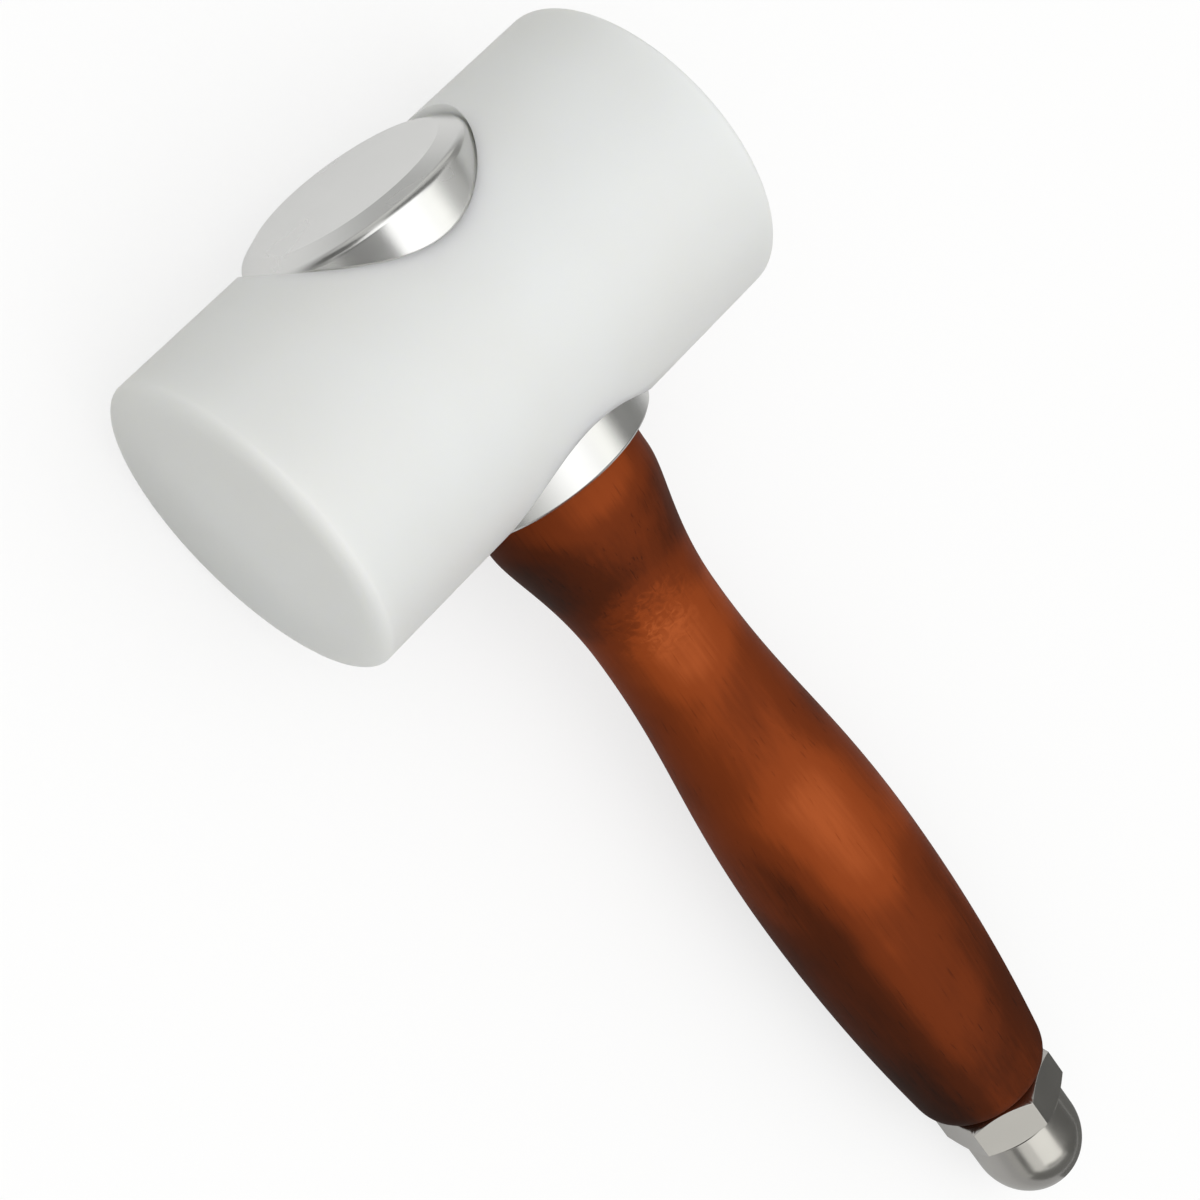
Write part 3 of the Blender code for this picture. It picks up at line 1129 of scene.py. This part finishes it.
@dataclass(frozen=True)
class Studio:
    """The floor, the lit dome over the mallet, the cards that it mirrors and the camera.

    The dome's and the floor's levels are shares of white. The floor is white to the camera and falls
    off to grey for what mirrors it, and the dome is brightest where the light comes from.
    """

    floor_size: float = 6.0
    floor_seen: float = 0.97
    floor_unseen: Colour = (0.60, 0.60, 0.58)
    white_seen: float = 0.72
    white_mirrored: float = 0.20
    mirrored_far: float = 0.38
    mirrored_from: tuple[float, float, float] = (0.0, 0.10, 0.0)
    mirrored_reach: tuple[float, float] = (0.0, 0.26)
    dome_radius: float = 2.4
    dome_sides: tuple[int, int] = (48, 24)
    light_from: tuple[float, float, float] = (-0.10, -0.03, 1.0)
    dome_stops: tuple[tuple[float, float], ...] = (
        (0.00, 0.565), (0.35, 0.575), (0.52, 0.65), (0.66, 0.81), (0.80, 1.14), (0.92, 1.56), (1.00, 1.70),
    )
    dome_level: float = 1.70
    dome_shade: Colour = (1.0, 1.0, 0.96)
    cards: tuple[Card, ...] = (
        Card("card_near_foot", (0.60, -0.62, 0.28), 0.78, 0.72, 0.13),
        Card("card_foot", (0.10, -1.00, 0.22), 2.20, 0.46, 0.16),
        Card("card_over_foot", (0.10, -0.98, 0.78), 1.00, 0.42, 0.30),
        Card("light_over_foot", (-0.09, -0.72, 0.66), 0.58, 0.30, 1.15),
        Card("strip_by_light", (-0.64, -0.68, 0.25), 0.10, 0.30, 0.10),
        Card("card_for_flat", (-0.56, -0.75, 0.52), 0.34, 0.34, 0.80),
        Card("card_left_of_foot", (-0.52, -0.56, 0.08), 0.28, 0.15, 0.45),
        Card("card_up_left", (-0.147, 0.060, 0.199), 0.112, 0.19, 0.15),
        Card("card_up_right", (0.52, -0.38, 0.86), 0.34, 0.34, 1.50),
        # Two dim sheets lying on the floor by the nut and by the neck, seen only in reflections: painted
        # shade in the floor that the nut and the core's ring mirror.
        Card("shade_card_beside_nut", (0.156, -0.190, 0.0004), 0.300, 0.220, 0.15, lying=True),
        Card("shade_card_beside_neck", (0.036, 0.022, 0.0004), 0.020, 0.028, 0.28, lying=True),
        Card("card_over_head", (0.37, 0.53, 0.70), 1.10, 0.50, 0.16),
        Card("card_left_of_head", (-0.65, 0.58, 0.41), 0.60, 0.75, 0.12),
        Card("card_beyond_head", (0.41, 0.98, 0.16), 1.60, 0.32, 0.72),
        Card("card_right", (1.30, 0.00, 0.25), 2.00, 0.50, 0.28),
        Card("card_left", (-1.30, 0.10, 0.25), 2.20, 0.50, 0.30),
    )
    view_azimuth: float = math.radians(227.03)
    view_elevation: float = math.radians(59.38)
    view_roll: float = math.radians(90.45)
    view_distance: float = 0.4207
    target: tuple[float, float, float] = (-0.0077, 0.0355, 0.0275)
    lens: float = 81.07
    sensor: float = 36.0
    sight: tuple[float, float] = (0.01, 20.0)

    def build(self) -> None:
        """Sets up everything round the mallet."""
        self.build_floor()
        self.build_dome()
        self.build_cards()
        self.build_world()
        self.build_camera()
        bpy.context.scene.view_settings.view_transform = "Standard"

    def build_floor(self) -> bpy.types.Object:
        """Lays the pale floor, lifted to white for what looks at it, with the shadow kept.

        Returns:
            The floor.
        """
        shader = Shader("pale_floor")
        path = shader.node("LightPath").outputs
        seen = shader.maths("MAXIMUM", path["Is Camera Ray"], path["Is Glossy Ray"])
        seen = shader.maths("MAXIMUM", seen, path["Is Transmission Ray"])
        point = shader.node("TexCoord").outputs["Object"]
        away = shader.vector("DISTANCE", point, self.mirrored_from)
        near = shader.span(away, *self.mirrored_reach, 1.0, self.mirrored_far)
        near = shader.maths("MAXIMUM", near, path["Is Camera Ray"])
        level = shader.maths("MULTIPLY", near, self.floor_seen)
        grey = shader.node("CombineColor", {"Red": level, "Green": level, "Blue": level}).outputs[0]
        colour = shader.blend(seen, self.floor_unseen, grey)
        plain = shader.node("BsdfDiffuse", {"Color": colour})
        white = shader.node("Emission", {"Color": (1.0, 1.0, 1.0, 1.0), "Strength": 1.0})
        share = shader.maths("MULTIPLY", shader.maths("MULTIPLY", seen, near), self.white_mirrored)
        direct = shader.maths("MULTIPLY", path["Is Camera Ray"], self.white_seen - self.white_mirrored)
        share = shader.maths("ADD", share, direct)
        mixed = shader.node("MixShader", {0: share, 1: plain.outputs[0], 2: white.outputs[0]})
        bm = bmesh.new()
        bmesh.ops.create_grid(bm, x_segments=1, y_segments=1, size=self.floor_size / 2)
        return add_stage("floor", bm, shader.surface(mixed))

    def build_dome(self) -> bpy.types.Object:
        """Raises a dome of lit cloth, bright overhead and dim down its sides.

        Returns:
            The dome.
        """
        shader = Shader("dome_cloth")
        point = shader.node("TexCoord").outputs["Object"]
        towards = Vector(self.light_from).normalized() / self.dome_radius
        stops = [(at, self.tint(level)) for at, level in self.dome_stops]
        glow = shader.ramp(shader.vector("DOT_PRODUCT", point, towards), stops)
        light = shader.node("Emission", {"Color": glow, "Strength": self.dome_level})
        bm = bmesh.new()
        around, up = self.dome_sides
        bmesh.ops.create_uvsphere(bm, u_segments=around, v_segments=up, radius=self.dome_radius)
        bmesh.ops.bisect_plane(
            bm, geom=bm.verts[:] + bm.edges[:] + bm.faces[:], plane_co=(0, 0, 0), plane_no=(0, 0, 1),
            clear_inner=True,
        )
        return add_stage("light_dome", bm, shader.surface(light), in_view=False)

    def tint(self, level: float) -> Colour:
        """The dome's colour at this level: the dim part is a little warmer than the bright one."""
        share = level / self.dome_level
        return tuple(share * (c + (1.0 - c) * share) for c in self.dome_shade)

    def build_cards(self) -> None:
        """Puts the cards round the mallet."""
        for card in self.cards:
            card.build(Vector(self.target))

    def build_world(self) -> None:
        """A plain white surround, which only the camera sees past the dome."""
        world = bpy.data.worlds.new("studio")
        world.use_nodes = True
        background = world.node_tree.nodes["Background"]
        background.inputs["Color"].default_value = (1.0, 1.0, 1.0, 1.0)
        background.inputs["Strength"].default_value = 1.0
        bpy.context.scene.world = world

    def build_camera(self) -> None:
        """Places the camera where the photograph was taken from, turned as the picture is."""
        level = math.cos(self.view_elevation)
        back = Vector((
            math.sin(self.view_azimuth) * level,
            -math.cos(self.view_azimuth) * level,
            math.sin(self.view_elevation),
        ))
        data = bpy.data.cameras.new("camera")
        data.lens = self.lens
        data.sensor_width = self.sensor
        data.clip_start, data.clip_end = self.sight
        camera = bpy.data.objects.new("camera", data)
        bpy.context.scene.collection.objects.link(camera)
        turn = back.to_track_quat("Z", "Y").to_matrix().to_4x4()
        place = Matrix.Translation(Vector(self.target) + back * self.view_distance)
        camera.matrix_world = place @ turn @ Matrix.Rotation(self.view_roll, 4, "Z")
        bpy.context.scene.camera = camera


def add_stage(name: str, bm: Solid, material: bpy.types.Material, in_view: bool = True) -> bpy.types.Object:
    """Adds an object that isn't part of the mallet.

    Args:
        name: the object's name.
        bm: its shape, which is used up.
        material: its finish.
        in_view: whether the camera sees it.

    Returns:
        The new object.
    """
    mesh = bpy.data.meshes.new(name)
    bm.to_mesh(mesh)
    bm.free()
    mesh.materials.append(material)
    obj = bpy.data.objects.new(name, mesh)
    bpy.context.scene.collection.objects.link(obj)
    obj.visible_camera = in_view
    return obj


def dress_tie_rod(place: MalletFrame) -> None:
    """Gives the hidden rod, which stays as packed, its plain steel finish.

    Args:
        place: the mallet's own frame.
    """
    rod = frame["nodes"]["tie_rod"]
    rod.data.materials.clear()
    rod.data.materials.append(PLAIN_STEEL.make(place))
    logging.info("tie_rod: kept as packed, in plain steel")


def main() -> None:
    """Builds the mallet piece by piece, then the studio."""
    logging.basicConfig(level=logging.INFO, format="%(message)s")
    place = MalletFrame.from_record(frame["record"])
    NylonHead.from_frame(place).build("nylon_head", place, NylonFinish().make(place))
    MetalCore.from_frame(place).build("metal_core", place, TurnedAluminium().make(place))
    handle = WoodenHandle.from_frame(place)
    handle.build("wooden_handle", place, StainedWood.for_handle(handle).make(place))
    DomedNut.from_frame(place).build("domed_nut", place, PLATED_STEEL.make(place))
    dress_tie_rod(place)
    Studio().build()


if __name__ == "__main__":
    main()
